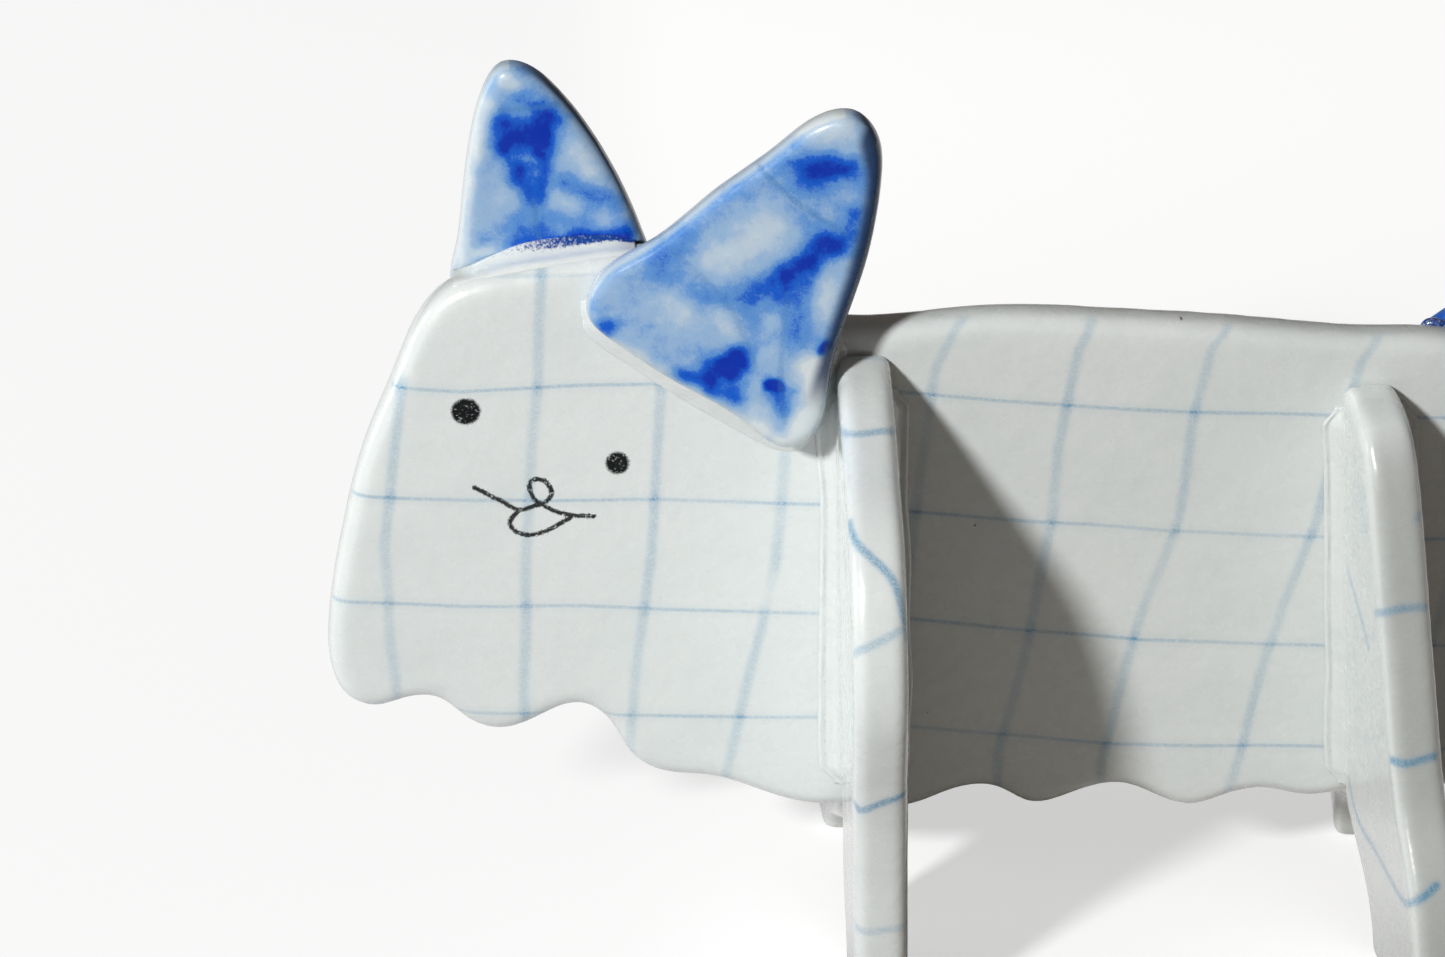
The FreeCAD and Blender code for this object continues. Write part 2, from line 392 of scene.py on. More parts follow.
def slip():
    m = Nodes("slip_bead")
    # Dark spots painted along the groove: painted shade inside small pits that the mesh does not have.
    pit_shade = m.step(m.math("MULTIPLY", m.noise(0.40, 2.0, 0.7), m.attribute("groove")), 0.50, 0.62)
    colour = m.mix(m.math("MULTIPLY", pit_shade, 0.55), white_clay(m), PIT_SHADE)
    grain = m.math("SUBTRACT", m.noise(0.34, 2.0, 0.8), 0.5)
    stained = m.step(m.math("MULTIPLY_ADD", grain, 1.3, m.attribute("stain")), 0.42, 0.92)
    return glaze_surface(m, m.mix(stained, colour, SEAM_STAIN), 0.5)


def blue_wash():
    """Cobalt brushed on thin: clouds that settle from pale blue-grey to deep blue, with fine granulation."""
    m = Nodes("blue_wash_glaze")
    drift = m.math("SUBTRACT", m.noise(4.2, 4.0, 0.62), 0.5)
    grain = m.math("SUBTRACT", m.noise(0.26, 2.0, 0.8), 0.5)
    wash = m.attribute("wash")
    mottle = m.math("SUBTRACT", m.noise(1.5, 3.0, 0.6), 0.5)
    density = m.math("MULTIPLY_ADD", drift, 0.34, wash)
    density = m.math("MULTIPLY_ADD", mottle, 0.28, density)
    density = m.math("MULTIPLY_ADD", grain, m.math("MULTIPLY_ADD", wash, 0.20, 0.10), density, clamp=True)
    colour = m.ramp(density, COBALT)
    line = pencil(m, m.attribute("blue_line"), 0.10, 0.4, m.attribute("blue_ink"))
    colour = m.mix(line, colour, WASHED_LINE)
    # Dark aft rim: pooled cobalt with painted shade.
    colour = m.mix(m.attribute("pool_and_shade"), colour, RIM_POOL_AND_SHADE)
    return glaze_surface(m, colour, body_scatter=0.0, gloss=0.6)


# ---------------------------------------------------------------- body slab

# Each upright line of the grid, from head to rump, as (height, place along the body) in mm.
UPRIGHTS = (
    ((74, -73.5), (12, -76.5)),
    ((74, -59.5), (62.7, -61.7), (45, -64.1), (27.5, -63.3), (12, -62.5)),
    ((74, -47.7), (62, -48.5), (44, -49.6), (29, -50.3), (12, -50)),
    ((76, -34.8), (62, -36.1), (47, -36.8), (33, -38.6), (22, -39.5)),
    ((70, -23.2), (55, -23.8), (42, -24.5), (29, -27.3), (18, -29.5)),
    ((69.6, -4.6), (67, -7), (63, -8.7), (52, -10.2), (41, -11.2), (12, -14.5)),
    ((67.5, 6.9), (64.7, 5.5), (54, 3.6), (46, 3.2), (33, 1.2), (19.5, -1.6)),
    ((67, 21.2), (64.6, 18.9), (57.5, 17.4), (45.5, 16), (34, 12.6), (17.6, 9.1)),
    ((66.5, 36.6), (62.7, 33.7), (56, 32.3), (45, 30.3), (36, 27.3), (23, 24.3), (12, 22.4)),
    ((66, 49), (45, 45), (12, 40)),
    ((66, 63), (12, 54)),
)
# Each level line, from the top down, as (place along the body, height) in mm.
LEVELS = (
    ((-70, 86), (50, 86)),
    ((-70, 73.6), (-40, 74.2), (50, 74)),
    ((-62, 62.6), (-56, 61.8), (-37, 62.3), (-20, 61.5), (-2, 59.3), (17, 57.5), (48, 55.8)),
    ((-66, 50.7), (-55, 49.8), (-37, 49.5), (-20, 48.4), (-8, 47), (15, 44.2), (50, 42)),
    ((-68, 38.9), (-57, 38.1), (-38, 37.3), (-11, 35.3), (13, 31.9), (32, 30.7), (50, 30)),
    ((-66, 26.6), (-55, 25.8), (-39, 25), (-20, 24), (-11, 22.7), (10, 20), (50, 18)),
    ((-66, 12), (50, 6)),
)
HALF_SLAB = 2.6
# The drawn face, as paths of (x, z) in mm, and each eye as (x, z, half width, half height).
MOUTH = (
    (-54.8, 51.3), (-52.0, 49.6), (-50.5, 48.7), (-49.0, 49.0), (-47.6, 49.6), (-47.1, 50.6), (-47.8, 51.8),
    (-48.9, 52.0), (-49.3, 51.2), (-48.8, 49.8), (-47.3, 48.7), (-45.5, 48.0), (-42.9, 47.7),
)
LIP = (
    (-50.4, 48.7), (-51.3, 47.4), (-50.9, 46.4), (-49.4, 45.8), (-47.6, 46.3), (-46.0, 47.2), (-45.0, 47.9),
)
EYES = ((-55.5, 59.7, 1.50, 1.46), (-40.5, 53.6, 1.20, 1.28))


def line_numbers(value, lines):
    """Where value lies among the ascending lines: whole numbers on a line. Also the gap round each point."""
    number = np.zeros(len(value))
    gap = np.ones(len(value))
    for k in range(len(lines) - 1):
        room = lines[k + 1] - lines[k]
        share = (value - lines[k]) / room
        inside = (share >= 0) & (share < 1)
        if k == 0:
            inside |= share < 0
        if k == len(lines) - 2:
            inside |= share >= 1
        number[inside] = (k + share)[inside]
        gap[inside] = room[inside]
    return number, gap


def ease(value, low, high):
    part = np.clip((value - low) / (high - low), 0, 1)
    return part * part * (3 - 2 * part)


def draw_grid(mesh):
    points = coordinates(mesh) / MM
    x, y, z = points.T
    far = y > 0
    wander = lattice_noise(points, 7.0, 5) - 0.5
    along = x + 0.5 * wander + np.where(far, 5.0, 0.0)
    height = z + 0.4 * (lattice_noise(points, 9.0, 6) - 0.5) + np.where(far, 3.5, 0.0)
    uprights = [np.interp(z, *zip(*sorted(line))) for line in UPRIGHTS]
    levels = [np.interp(x, *zip(*line)) for line in reversed(LEVELS)]
    across, across_gap = line_numbers(along, uprights)
    down, down_gap = line_numbers(height, levels)
    side = ease(np.abs(y), 0.5, 1.9)
    upright, level = np.round(across), np.round(down)
    across_ink = side * (0.55 + 0.6 * lattice_noise(points, 8.0, 7))
    across_ink *= np.where(far, 1.0, np.where(upright == 1, ease(z, 64.5, 62.5), 1.0))
    across_ink *= np.where((upright == 4) & ~far, 1 - 0.75 * ease(np.abs(z - 38.5), 4.0, 1.0), 1.0)
    down_ink = side * (0.60 + 0.55 * lattice_noise(points, 11.0, 8))
    down_ink *= np.where(level == 5, 0.6 * ease(np.abs(x + 47.5), 6.5, 3.5), 1.0)
    down_ink *= np.where((level == 0) | (level == 6), 0.0, 1.0)
    near_cross = ease(np.abs(down - level) * down_gap, 1.4, 0.2)
    keep_attribute(mesh, "across", across)
    keep_attribute(mesh, "across_pitch", across_gap)
    keep_attribute(mesh, "across_ink", across_ink * (1 + 0.35 * near_cross))
    keep_attribute(mesh, "down", down)
    keep_attribute(mesh, "down_pitch", down_gap)
    keep_attribute(mesh, "down_ink", down_ink)


def draw_face(mesh):
    points = coordinates(mesh) / MM
    near = points[:, 1] < -1.0
    flat = points[:, [0, 2]]
    stroke = np.minimum(distance_to_path(flat, flowing(MOUTH)), distance_to_path(flat, flowing(LIP)))
    eye = np.full(len(points), NO_LINE)
    for x, z, wide, tall in EYES:
        reach = np.hypot((flat[:, 0] - x) / wide, (flat[:, 1] - z) / tall)
        eye = np.minimum(eye, (reach - 1) * min(wide, tall))
    keep_attribute(mesh, "stroke", np.where(near, stroke, NO_LINE))
    keep_attribute(mesh, "eye", np.where(near, eye, NO_LINE))


def in_drawing(x, y, z):
    if y > -1.0:
        return False
    mouth = -56.2 < x < -41.8 and 44.6 < z < 53.2
    return mouth or any(abs(x - ex) < 2.4 and abs(z - ez) < 2.4 for ex, ez, _, _ in EYES)


def make_body():
    piece = dense_copy("body_slab", BODY_VOXEL)
    hand_press(piece, 0.15, 11.0, 21)
    refine(piece, in_drawing, 3)
    draw_grid(piece.data)
    draw_face(piece.data)
    settle(piece, "body_slab", clay_with_grid())


# ---------------------------------------------------------------- legs

# Blue strokes on the near legs, as (pressure, path of (x, y, z)) in mm.
FRONT_STROKES = (
    (0.7, ((-20.4, -8, 60.6), (-18.6, -13.6, 61.2), (-15.7, -14.2, 62), (-13.5, -13.2, 61.4),
           (-13.5, -8, 60.8))),
    (0.8, ((-20.4, -24, 57.6), (-18.5, -27, 56), (-15.6, -29.4, 53.9), (-14.4, -31, 51.5), (-13.4, -32, 48))),
    (0.5, ((-19.8, -32.2, 47), (-17.7, -32.4, 47.9), (-14.4, -32, 49.4))),
    (0.8, ((-20.4, -26, 30), (-19.3, -29.2, 28.6), (-18.5, -29.8, 27.9), (-15.7, -30.2, 29.4),
           (-13.4, -29.8, 30.4))),
    (0.4, ((-19.2, -27.6, 13.4), (-17, -28, 13.2), (-13.5, -27.6, 13.6), (-13.4, -20, 12))),
    (0.45, ((-17.2, -3.4, 64.7), (-13.7, -3.6, 64.9))),
    (0.6, ((-13.4, -4, 47), (-13.4, -16, 46), (-13.4, -31, 47.5))),
)
REAR_STROKES = (
    (0.55, ((31.9, -4, 40.6), (32.9, -6.4, 39.2), (33.7, -9, 37.6), (34.3, -12, 35))),
    (0.9, ((34, -3, 18), (34.6, -5.4, 14.6), (35.3, -8.2, 12.8), (35.9, -13, 12.9), (36.7, -19, 12.6),
           (37.3, -24, 12.6), (38.5, -25.9, 14.2), (40.3, -25.2, 15.3))),
    (0.7, ((34.5, -14, 40.3), (35.5, -15.7, 41.3), (37.5, -15.9, 41.7), (39.5, -15.2, 41.4))),
    (1.2, ((35.9, -19, 26.4), (37.5, -19.9, 26.3), (40.5, -19.2, 26.7))),
    (0.6, ((37.5, -4, 52), (38.3, -10, 51), (38.7, -14, 50.4))),
)
# How far the outer edge of a rear leg, which faces away from the light, is darkened to a grey painted shade.
REAR_SHADE_AMOUNT = 0.72


def draw_strokes(mesh, strokes):
    points = coordinates(mesh) / MM
    away = np.full(len(points), NO_LINE)
    ink = np.zeros(len(points))
    for pressure, path in strokes:
        on_clay = np.array([points[((points - spot) ** 2).sum(axis=1).argmin()] for spot in flowing(path)])
        padded = np.pad(on_clay, ((2, 2), (0, 0)), mode="edge")
        on_clay = sum(padded[k:k + len(on_clay)] for k in range(5)) / 5
        found = distance_to_path(points, on_clay)
        closer = found < away
        away = np.where(closer, found, away)
        ink = np.where(closer, pressure, ink)
    keep_attribute(mesh, "blue_line", away)
    keep_attribute(mesh, "blue_ink", ink * (0.5 + 0.6 * lattice_noise(points, 5.0, 9)))


def across_body(strokes):
    return tuple((pressure, tuple((x, -y, z) for x, y, z in path)) for pressure, path in strokes)


def make_legs():
    finish = clay_with_strokes()
    legs = {}
    for node, strokes, seed in (
        ("front_left_leg", FRONT_STROKES, 31),
        ("front_right_leg", across_body(FRONT_STROKES), 33),
        ("rear_left_leg", REAR_STROKES, 35),
        ("rear_right_leg", across_body(REAR_STROKES), 37),
    ):
        piece = dense_copy(node, LEG_VOXEL, 20)
        hand_press(piece, 0.12, 12.0, seed)
        draw_strokes(piece.data, strokes)
        # Painted shade: end faces turned away from the light are marked for darkening on the rear legs.
        shaded_end_face = ease(np.abs(normals(piece.data)[:, 1]), 0.55, 0.95)
        keep_attribute(piece.data, "end_face_shade", shaded_end_face * (REAR_SHADE_AMOUNT if "rear" in node else 0.0))
        settle(piece, node, finish)
        legs[node] = piece
    return legs


# ---------------------------------------------------------------- ears and tail

# Brush marks as (density, half width, path of (x, z)) in mm. A negative density wipes the colour out.
NEAR_EAR = (0.48, (
    (0.44, 1.45, ((-21.2, 87.2), (-19.9, 87.7))),
    (0.16, 1.9, ((-23.4, 87.2), (-21.2, 85.6))),
    (0.22, 1.1, ((-17.6, 87.8), (-17.2, 86.6))),
    (0.26, 1.0, ((-17.7, 82.9), (-18.0, 81.2), (-18.2, 79.2))),
    (0.45, 1.15, ((-20.2, 79.3), (-22.3, 77.4), (-24.0, 75.9))),
    (0.24, 1.6, ((-22.6, 75.4), (-22.9, 72.2), (-23.4, 69.4))),
    (0.16, 1.6, ((-26.4, 74.6), (-27.6, 71.6), (-27.0, 69.6))),
    (0.40, 1.05, ((-34.2, 64.7), (-31.2, 64.7), (-28.9, 66.4))),
    (0.34, 1.1, ((-28.6, 67.4), (-29.4, 65.4), (-29.2, 63.0))),
    (0.34, 1.0, ((-31.8, 66.2), (-31.2, 63.2))),
    (0.70, 0.55, ((-25.8, 64.2), (-24.9, 64.1))),
    (0.34, 0.9, ((-24.8, 63.2), (-24.0, 61.1))),
    (0.28, 0.8, ((-23.0, 63.4), (-22.4, 62.2))),
    (0.26, 0.8, ((-41.4, 70.0), (-42.0, 68.6))),
    (0.58, 0.5, ((-20.7, 67.9), (-20.2, 68.6))),
    (0.18, 1.5, ((-33.4, 79.6), (-36.4, 76.4), (-34.2, 74.2), (-30.0, 73.4), (-26.8, 74.4))),
    (0.12, 1.6, ((-28.4, 84.8), (-24.0, 82.6), (-21.4, 80.8))),
    (-0.30, 2.3, ((-25.6, 81.2), (-28.6, 78.6), (-30.4, 78.0))),
    (-0.24, 1.1, ((-19.9, 75.2), (-20.6, 72.0))),
    (-0.22, 1.7, ((-35.6, 72.8), (-34.4, 71.6))),
    (-0.20, 1.3, ((-29.9, 71.0), (-29.0, 69.6))),
    (-0.16, 1.3, ((-25.6, 70.6), (-25.8, 67.6))),
    (-0.34, 1.7, ((-21.4, 91.6), (-18.8, 91.4))),
    (-0.20, 1.2, ((-26.8, 61.2), (-26.4, 59.8))),
    (-0.62, 1.5, ((-21.2, 66.0), (-21.8, 62.0), (-23.0, 57.4))),
    (-0.30, 0.8, ((-40.6, 67.9), (-33.6, 63.2), (-27.2, 59.4), (-24.4, 58.0))),
))
FAR_EAR = (0.46, (
    (0.24, 1.2, ((-49.4, 85.4), (-48.4, 83.0))),
    (0.46, 1.5, ((-51.0, 88.6), (-49.4, 88.4), (-47.2, 88.8))),
    (0.40, 1.2, ((-50.6, 87.0), (-48.4, 86.6), (-47.2, 86.8))),
    (0.34, 0.9, ((-51.2, 86.0), (-50.2, 83.6), (-48.9, 81.4))),
    (0.34, 0.8, ((-47.2, 85.0), (-47.2, 83.2), (-47.6, 81.1))),
    (0.24, 1.1, ((-44.8, 82.4), (-42.6, 81.2), (-40.9, 80.6))),
    (0.40, 1.0, ((-50.0, 75.8), (-45.0, 76.2), (-39.4, 77.0))),
    (0.50, 0.55, ((-48.6, 75.2), (-45.0, 75.7), (-39.2, 76.2))),
    (0.16, 1.8, ((-54.0, 77.6), (-50.0, 78.0), (-44.0, 78.4))),
    (0.24, 1.1, ((-49.4, 91.4), (-46.8, 90.0))),
    (-0.24, 1.2, ((-44.0, 85.6), (-42.8, 83.6))),
    (-0.22, 1.0, ((-46.0, 80.4), (-44.6, 79.8))),
    (-0.20, 1.2, ((-51.2, 80.4), (-52.6, 78.8))),
    (-0.40, 1.0, ((-55.6, 73.4), (-54.8, 84.0), (-53.0, 90.4))),
    (-0.34, 0.8, ((-50.8, 93.0), (-49.8, 92.6))),
    (-0.30, 0.6, ((-54.2, 74.7), (-52.8, 75.0))),
))
TAIL = (0.60, (
    (0.60, 2.4, ((40.6, 63.6), (45.0, 68.4))),
    (0.45, 1.6, ((38.0, 59.0), (45.0, 62.0))),
    (0.35, 1.4, ((48.0, 68.0), (53.0, 72.0))),
    (-0.35, 1.8, ((42.0, 66.0), (50.0, 76.0))),
    (0.35, 1.6, ((58.0, 82.0), (64.0, 86.0))),
    (-0.30, 1.5, ((56.0, 74.0), (60.0, 79.0))),
    (0.50, 0.8, ((36.0, 54.5), (40.0, 52.5))),
))
# The aft rim of each washed slab, as its path of (x, z) and the width in mm of the dark band along it: cobalt
# pooled at the rim, darkened further as painted shade where the rim turns away from the light.
NEAR_EAR_RIM = (
    ((-21.6, 57.8), (-19.4, 65.0), (-17.2, 73.0), (-15.4, 80.0), (-14.6, 86.2), (-15.3, 90.0)), 1.8,
)
FAR_EAR_RIM = (((-36.6, 71.0), (-36.6, 74.0), (-39.0, 80.4), (-42.4, 87.0), (-46.0, 91.8)), 0.1)
TAIL_RIM = (((47.0, 55.6), (54.0, 61.4), (60.4, 68.4), (65.8, 76.6), (69.2, 84.6)), 0.9)
POOL_AND_SHADE_STRENGTH = 0.92
# Thin pencil lines under the wash, as (pressure, path of (x, z)) in mm.
NEAR_EAR_LINES = (
    (0.55, ((-26.6, 87.0), (-22.8, 83.4), (-18.4, 80.6))),
    (0.35, ((-24.0, 74.0), (-24.6, 66.0), (-24.2, 60.0))),
    (0.30, ((-36.0, 79.0), (-30.0, 73.0), (-27.0, 66.0))),
)
FAR_EAR_LINES = ((0.5, ((-48.4, 80.4), (-47.8, 76.0))), (0.6, ((-51.4, 90.0), (-46.0, 90.5))))
TAIL_LINES = ((0.6, ((40.0, 66.0), (47.0, 60.0))), (0.6, ((50.0, 78.0), (57.0, 71.0))))


def brush_wash(mesh, marks, lines, rim_pool_and_shade, seed):
    """Keeps the wash's density, from its ground and brush marks, with the rim facing the light made paler as
    a painted highlight; its pencil lines; and its dark aft rim, pooled cobalt with painted shade.
    """
    points = coordinates(mesh) / MM
    facing = normals(mesh)
    ground, strokes = marks
    ragged = 0.7 * (lattice_noise(points, 1.9, seed) - 0.5)
    ragged += 0.3 * (lattice_noise(points, 0.8, seed + 1) - 0.5)
    wash = np.full(len(points), ground)
    flat = points[:, [0, 2]]
    for density, half_width, path in strokes:
        away = distance_to_path(flat, flowing(path)) / half_width + ragged
        wash += density * np.exp(-0.85 * np.maximum(away, 0.0) ** 2)
    rim = ease(np.abs(facing[:, 1]), 0.75, 0.35)
    # Painted highlight: the rim that faces the light gets a thinner, paler wash.
    wash -= 0.30 * rim * (facing[:, 0] < 0)
    rim_path, reach = rim_pool_and_shade
    edge = distance_to_path(flat, flowing(rim_path)) + 0.25 * ragged
    # Dark band along the aft rim: pooled cobalt, with painted shade where the rim turns away from the light.
    pool_and_shade = np.maximum(ease(edge, reach + 0.75, reach - 0.55), rim * ease(facing[:, 0], 0.10, 0.80))
    pool_and_shade *= ease(facing[:, 0], -0.35, -0.10)
    pool_and_shade *= ease(points[:, 2], rim_path[0][1] + 3.0, rim_path[0][1] + 8.0)
    behind = (facing[:, 1] > 0) & (rim < 0.5)
    plain = ground + 0.1 + 0.5 * (lattice_noise(points, 5.0, seed + 2) - 0.5)
    wash = np.where(behind, plain, wash)
    away, ink = np.full(len(points), NO_LINE), np.zeros(len(points))
    for pressure, path in lines:
        found = distance_to_path(flat, flowing(path))
        ink = np.where(found < away, pressure, ink)
        away = np.minimum(found, away)
    keep_attribute(mesh, "wash", wash)
    keep_attribute(mesh, "pool_and_shade", POOL_AND_SHADE_STRENGTH * pool_and_shade)
    keep_attribute(mesh, "blue_line", away)
    keep_attribute(mesh, "blue_ink", ink)


def make_washed_slabs():
    finish = blue_wash()
    for node, marks, lines, rim, seed in (
        ("left_ear", NEAR_EAR, NEAR_EAR_LINES, NEAR_EAR_RIM, 41),
        ("right_ear", FAR_EAR, FAR_EAR_LINES, FAR_EAR_RIM, 45),
        ("tail", TAIL, TAIL_LINES, TAIL_RIM, 49),
    ):
        piece = dense_copy(node, WASH_VOXEL)
        hand_press(piece, 0.18, 7.0, seed)
        brush_wash(piece.data, marks, lines, rim, seed)
        settle(piece, node, finish)


# ---------------------------------------------------------------- slip seams

SEAM_RADIUS = 1.65
SEAM_STEP = 0.2
TAIL_STAIN = 0.85


def sweep(name, rings, groove, stain):
    """A closed run of slip through rings of points in mm, with its groove and its blue stain kept on it."""
    rings = np.asarray(rings, float)
    count, around = rings.shape[:2]
    faces = [
        (i * around + j, i * around + (j + 1) % around,
         (i + 1) * around + (j + 1) % around, (i + 1) * around + j)
        for i in range(count - 1) for j in range(around)
    ]
    faces += [tuple(range(around)), tuple(range((count - 1) * around, count * around))]
    mesh = bpy.data.meshes.new(name)
    mesh.from_pydata((rings.reshape(-1, 3) * MM).tolist(), [], faces)
    keep_attribute(mesh, "groove", np.asarray(groove, float).ravel())
    keep_attribute(mesh, "stain", np.asarray(stain, float).ravel())
    work = bmesh.new()
    work.from_mesh(mesh)
    bmesh.ops.recalc_face_normals(work, faces=work.faces)
    work.to_mesh(mesh)
    work.free()
    mesh.shade_smooth()
    piece = bpy.data.objects.new(name + "_glazed", mesh)
    bpy.context.scene.collection.objects.link(piece)
    return piece


def cove(radius, crest):
    """Section of a fillet of slip, as (away from the leg, out from the body), and its groove."""
    turn = np.linspace(0, math.pi / 2, 15)
    away = radius - radius * np.sin(turn)
    out = radius - radius * np.cos(turn) + 0.05
    ridge = np.exp(-((away - radius) / 0.16) ** 2)
    trough = np.exp(-((away - radius + 0.42) / 0.14) ** 2)
    out = out + crest * ridge - 0.7 * crest * trough
    section = np.column_stack((away, out))
    lead_in = [(radius + 0.45, -0.5), (radius + 0.30, -0.12), (radius + 0.14, 0.05 + 0.6 * crest)]
    lead_out = [(-0.4, radius + 0.25), (-0.9, radius * 0.5), (-0.9, -0.7), (radius * 0.5, -0.8)]
    grooves = np.concatenate((np.zeros(len(lead_in)), trough, np.zeros(len(lead_out))))
    return np.vstack((lead_in, section, lead_out)), grooves


def leg_seam(node, leg, side, end, seed):
    """A fillet up the corner between a leg's face and the body, uneven as a finger leaves it."""
    low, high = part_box(node)
    heights = np.arange(low.z / MM, high.z / MM, SEAM_STEP)
    points = coordinates(leg.data) / MM
    out = points[:, 1] * side
    close = points[(out > HALF_SLAB + 0.5) & (out < HALF_SLAB + 2.2)]
    pick, outward = (np.min, -1) if end == "fore" else (np.max, 1)
    faces = np.array([pick(close[np.abs(close[:, 2] - z) < 0.8, 0]) for z in heights])
    faces = np.convolve(np.pad(faces, 8, mode="edge"), np.ones(17) / 17, mode="valid")
    spots = np.column_stack((np.zeros(len(heights)), np.zeros(len(heights)), heights))
    swell = 0.82 + 0.36 * lattice_noise(spots, 7.0, seed)
    crests = 0.05 + 0.16 * lattice_noise(spots, 3.0, seed + 1)
    rings, grooves = [], []
    for z, x, wide, crest in zip(heights, faces, swell, crests):
        end_fade = 0.25 + 0.75 * ease(min(z - heights[0], heights[-1] - z), 0.0, 2.2)
        section, groove = cove(SEAM_RADIUS * wide * end_fade, crest * end_fade)
        rings.append([(x + outward * a, side * (HALF_SLAB + b), z) for a, b in section])
        grooves.append(groove)
    return sweep(node, rings, grooves, np.zeros_like(grooves))


NEAR_EAR_FOOT = (
    (-42.5, 71.6), (-42.2, 70.4), (-40.0, 68.0), (-33.6, 63.7), (-27.6, 60.1), (-24.3, 58.2), (-22.9, 57.9),
    (-21.8, 59.6), (-21.0, 62.0), (-20.4, 65.0), (-19.9, 68.0),
)
FAR_EAR_FOOT = ((-56.4, 73.0), (-54.0, 73.7), (-50.0, 74.7), (-45.0, 75.4), (-41.0, 75.9), (-38.4, 76.0))


def near_ear_seam():
    """Slip under the ear's lower rim, sloping down to the cheek, and a fuller fillet round its corner."""
    path = flowing(NEAR_EAR_FOOT, 14)
    tangent = np.gradient(path, axis=0)
    tangent /= np.linalg.norm(tangent, axis=1)[:, None]
    travelled = np.concatenate(([0], np.cumsum(np.linalg.norm(np.diff(path, axis=0), axis=1))))
    spots = np.column_stack((path[:, 0], np.zeros(len(path)), path[:, 1]))
    swell = 0.30 * lattice_noise(spots, 5.0, 95)
    rings, grooves = [], []
    for (x, z), (tx, tz), along, more in zip(path, tangent, travelled, swell):
        height = 4.5 + 0.139 * (x + 30)
        fade = ease(min(along, travelled[-1] - along), 0.0, 2.5)
        corner = ease(tz, 0.1, 0.8)
        spread = 0.9 + (0.415 * height * (1 - 0.35 * corner) + 0.12 + more) * (0.3 + 0.7 * fade)
        rise = height * (0.40 + 0.30 * corner) * (0.4 + 0.6 * fade)
        section = (
            (-1.2, 0.80 * rise), (-0.5, rise), (0.2, 0.96 * rise), (0.7, 0.78 * rise),
            (0.38 * spread + 0.3, 0.52 * rise), (0.58 * spread + 0.25, 0.28 * rise),
            (0.76 * spread + 0.15, 0.11 * rise), (0.90 * spread + 0.08, 0.03 * rise + 0.02),
            (spread, 0.0), (spread + 0.25, -0.25),
            (0.5 * spread, -0.8), (-1.0, -0.6), (-1.2, 0.3 * rise),
        )
        rings.append([(x + a * tz, -(HALF_SLAB + b), z - a * tx) for a, b in section])
        grooves.append([0] * 6 + [0.3, 0.8, 0.8] + [0] * 4)
    return sweep("left_ear_seam", rings, grooves, np.zeros_like(grooves))


def far_ear_seam():
    """Slip that fills the valley between the top of the head and the far ear, stained by the ear's wash."""
    path = flowing(FAR_EAR_FOOT, 14)
    spots = np.column_stack((path[:, 0], np.zeros(len(path)), path[:, 1]))
    swell = 0.8 + 0.4 * lattice_noise(spots, 4.0, 91)
    rings, stains = [], []
    for i, (x, z) in enumerate(path):
        start, end = ease(i, 6.0, 34.0), ease(len(path) - 1 - i, 0.0, 14.0)
        grow = swell[i] * (0.12 + 0.88 * start) * (0.25 + 0.75 * end)
        section = (
            (-1.6, -0.7), (-1.3, -0.16), (-0.8, 0.02 * grow), (-0.3, 0.05 * grow), (0.1, 0.13 * grow),
            (0.5, 0.30 * grow), (0.85, 0.55 * grow), (1.15, 0.9 * grow), (1.45, 1.2 * grow),
            (2.0, 1.1 * grow), (2.0, -1.4), (0.2, -1.4),
        )
        rings.append([(x, y, z + up) for y, up in section])
        stains.append([ease(y, 0.15, 1.0) * ease(i, 2.0, 52.0) for y, _ in section])
    return sweep("right_ear_seam_top", rings, np.zeros_like(stains), stains)


def plain_seam(node, seed, stain):
    """One of the seams on the far side: its CAD bead, softened and swelled to touch the clay each side."""
    piece = dense_copy(node, BEAD_VOXEL, 10)
    hand_press(piece, -0.18, 2.2, seed)
    keep_attribute(piece.data, "groove", np.zeros(len(piece.data.vertices)))
    keep_attribute(piece.data, "stain", np.full(len(piece.data.vertices), stain))
    return piece


def make_seams(legs):
    finish = slip()
    seams = {"left_ear_seam": near_ear_seam(), "right_ear_seam_top": far_ear_seam()}
    for seed, node in enumerate(("right_ear_seam_under", "tail_seam_top", "tail_seam_under")):
        seams[node] = plain_seam(node, 60 + 3 * seed, TAIL_STAIN if node == "tail_seam_top" else 0.0)
    seed = 70
    for name, leg in legs.items():
        side = -1 if "left" in name else 1
        for end in ("fore", "aft"):
            node = f"{name}_seam_{end}"
            seams[node] = leg_seam(node, leg, side, end, seed)
            seed += 2
    for node, piece in seams.items():
        settle(piece, node, finish)


make_body()
legs = make_legs()
make_washed_slabs()
make_seams(legs)


# ---------------------------------------------------------------- floor and light

FLOOR_REACH = 6.0
# Floor colours for the eye, for bounce light and for reflections; with the floor's glow they are painted
# light, not one even floor.
FLOOR_SEEN_FORE = (0.20, 0.20, 0.20)
FLOOR_SEEN_AFT = (0.58, 0.58, 0.585)
FLOOR_BOUNCE_FORE = (0.55, 0.55, 0.57)
FLOOR_BOUNCE_AFT = (0.38, 0.33, 0.29)
FLOOR_MIRRORED = (0.14, 0.14, 0.15)


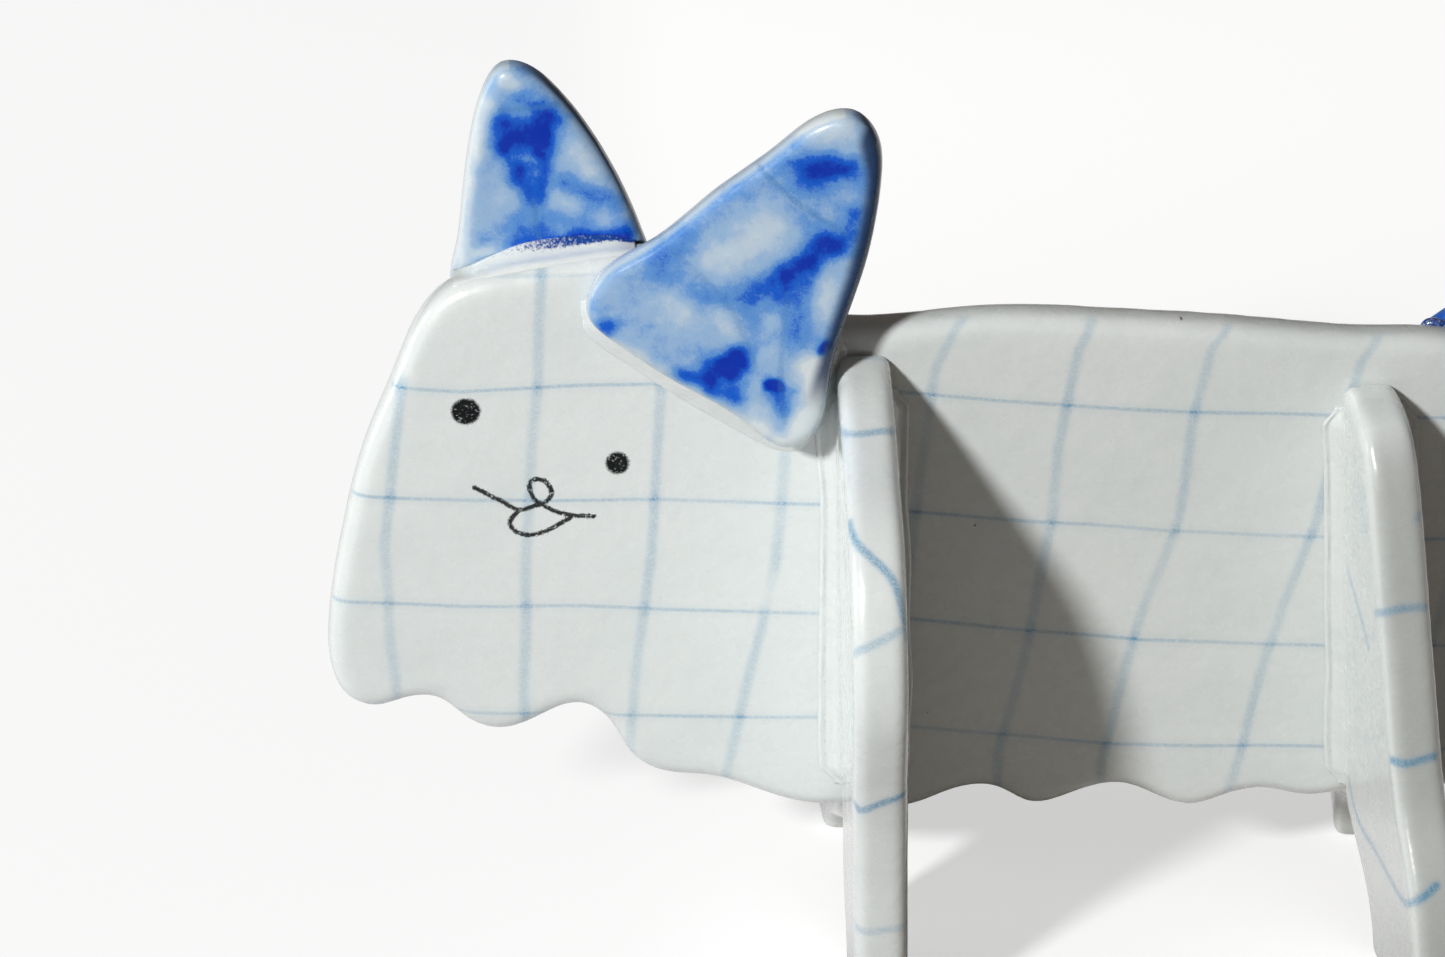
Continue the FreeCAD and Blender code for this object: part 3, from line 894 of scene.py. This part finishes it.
def make_floor():
    """A pale table that glows as painted light: to the eye it is brighter on the left, where its glow washes
    out the cat's cast shadow, and brighter toward the back; it is bright to reflections behind the cat, and
    dimmer as a bounce.
    """
    mesh = bpy.data.meshes.new("floor")
    corners = [(x * FLOOR_REACH, y * FLOOR_REACH, 0) for x, y in ((-1, -1), (1, -1), (1, 1), (-1, 1))]
    mesh.from_pydata(corners, [], [(0, 1, 2, 3)])
    floor = bpy.data.objects.new("floor", mesh)
    bpy.context.scene.collection.objects.link(floor)
    m = Nodes("pale_floor")
    split = m.node("ShaderNodeSeparateXYZ")
    m.put(split.inputs[0], m.place())
    x, y = split.outputs["X"], split.outputs["Y"]
    # Painted light: on the left the floor is mostly glow, which washes out the cat's cast shadow there; the
    # glow also brightens toward the back.
    beside = m.step(x, -0.045, -0.018)
    glow = m.node("ShaderNodeEmission")
    glow_left = m.step(y, -0.05, 0.25, 0.80, 0.84)
    glow_right = m.step(y, -0.05, 0.25, 0.54, 0.75)
    m.put(glow.inputs["Strength"], m.math("MULTIPLY_ADD", beside, m.math("SUBTRACT", glow_right, glow_left), glow_left))
    seen = m.node("ShaderNodeBsdfDiffuse")
    m.put(seen.inputs["Color"], m.mix(beside, FLOOR_SEEN_FORE, FLOOR_SEEN_AFT))
    both = m.node("ShaderNodeAddShader")
    m.put(both.inputs[0], glow.outputs[0])
    m.put(both.inputs[1], seen.outputs[0])
    path = m.node("ShaderNodeLightPath")
    dim = m.node("ShaderNodeBsdfDiffuse")
    # Bounce light sees a brighter floor on the left than under the cat; glossy rays see it dim, except behind
    # the cat.
    bounce = m.mix(m.step(x, -0.030, -0.010), FLOOR_BOUNCE_FORE, FLOOR_BOUNCE_AFT)
    m.put(dim.inputs["Color"], m.mix(path.outputs["Is Glossy Ray"], bounce, FLOOR_MIRRORED))
    aside = m.step(m.math("ABSOLUTE", x), 0.008, 0.018, 0.0, 0.78)
    clear = m.math("MAXIMUM", aside, m.step(y, 0.02, 0.05, 0.0, 0.78))
    beyond = m.math("MULTIPLY", m.step(y, -0.032, 0.002), clear)
    mirrored = m.math("MULTIPLY", path.outputs["Is Glossy Ray"], beyond)
    choose = m.node("ShaderNodeMixShader")
    m.put(choose.inputs[0], m.math("MAXIMUM", path.outputs["Is Camera Ray"], mirrored))
    m.put(choose.inputs[1], dim.outputs[0])
    m.put(choose.inputs[2], both.outputs[0])
    output = m.node("ShaderNodeOutputMaterial")
    m.put(output.inputs["Surface"], choose.outputs[0])
    mesh.materials.append(m.material)


KEY_TRAVEL = Vector((1.03, 1.27, -1.0)).normalized()
KEY_AIM = Vector((-0.020, 0.0, 0.045))
KEY_DISTANCE = 0.90
KEY_SIZE = 0.096
KEY_ENERGY = 7.7
FILL_PLACE = (-0.72, 0.02, 0.16)
FILL_SIZE = 0.30
FILL_ENERGY = 0.7
ROOM_COLOUR = (1.0, 0.86, 0.77, 1.0)
ROOM_STRENGTH = 0.085


def make_lights():
    """One small bright key from high on the left, a weak soft fill from the left, and a dim warm room."""
    lamp = bpy.data.lights.new("key", "AREA")
    lamp.shape = "DISK"
    lamp.size = KEY_SIZE
    lamp.energy = KEY_ENERGY
    lamp.color = (1.0, 1.0, 0.99)
    key = bpy.data.objects.new("key", lamp)
    key.location = KEY_AIM - KEY_DISTANCE * KEY_TRAVEL
    key.rotation_euler = (-KEY_TRAVEL).to_track_quat("Z", "Y").to_euler()
    bpy.context.scene.collection.objects.link(key)
    soft = bpy.data.lights.new("fill", "AREA")
    soft.size = FILL_SIZE
    soft.energy = FILL_ENERGY
    fill = bpy.data.objects.new("fill", soft)
    fill.location = FILL_PLACE
    fill.rotation_euler = Vector((-1.0, 0.0, 0.15)).to_track_quat("Z", "Y").to_euler()
    bpy.context.scene.collection.objects.link(fill)
    world = bpy.data.worlds.new("studio")
    world.use_nodes = True
    bpy.context.scene.world = world
    ground = world.node_tree.nodes["Background"]
    ground.inputs["Color"].default_value = ROOM_COLOUR
    ground.inputs["Strength"].default_value = ROOM_STRENGTH


make_floor()
make_lights()
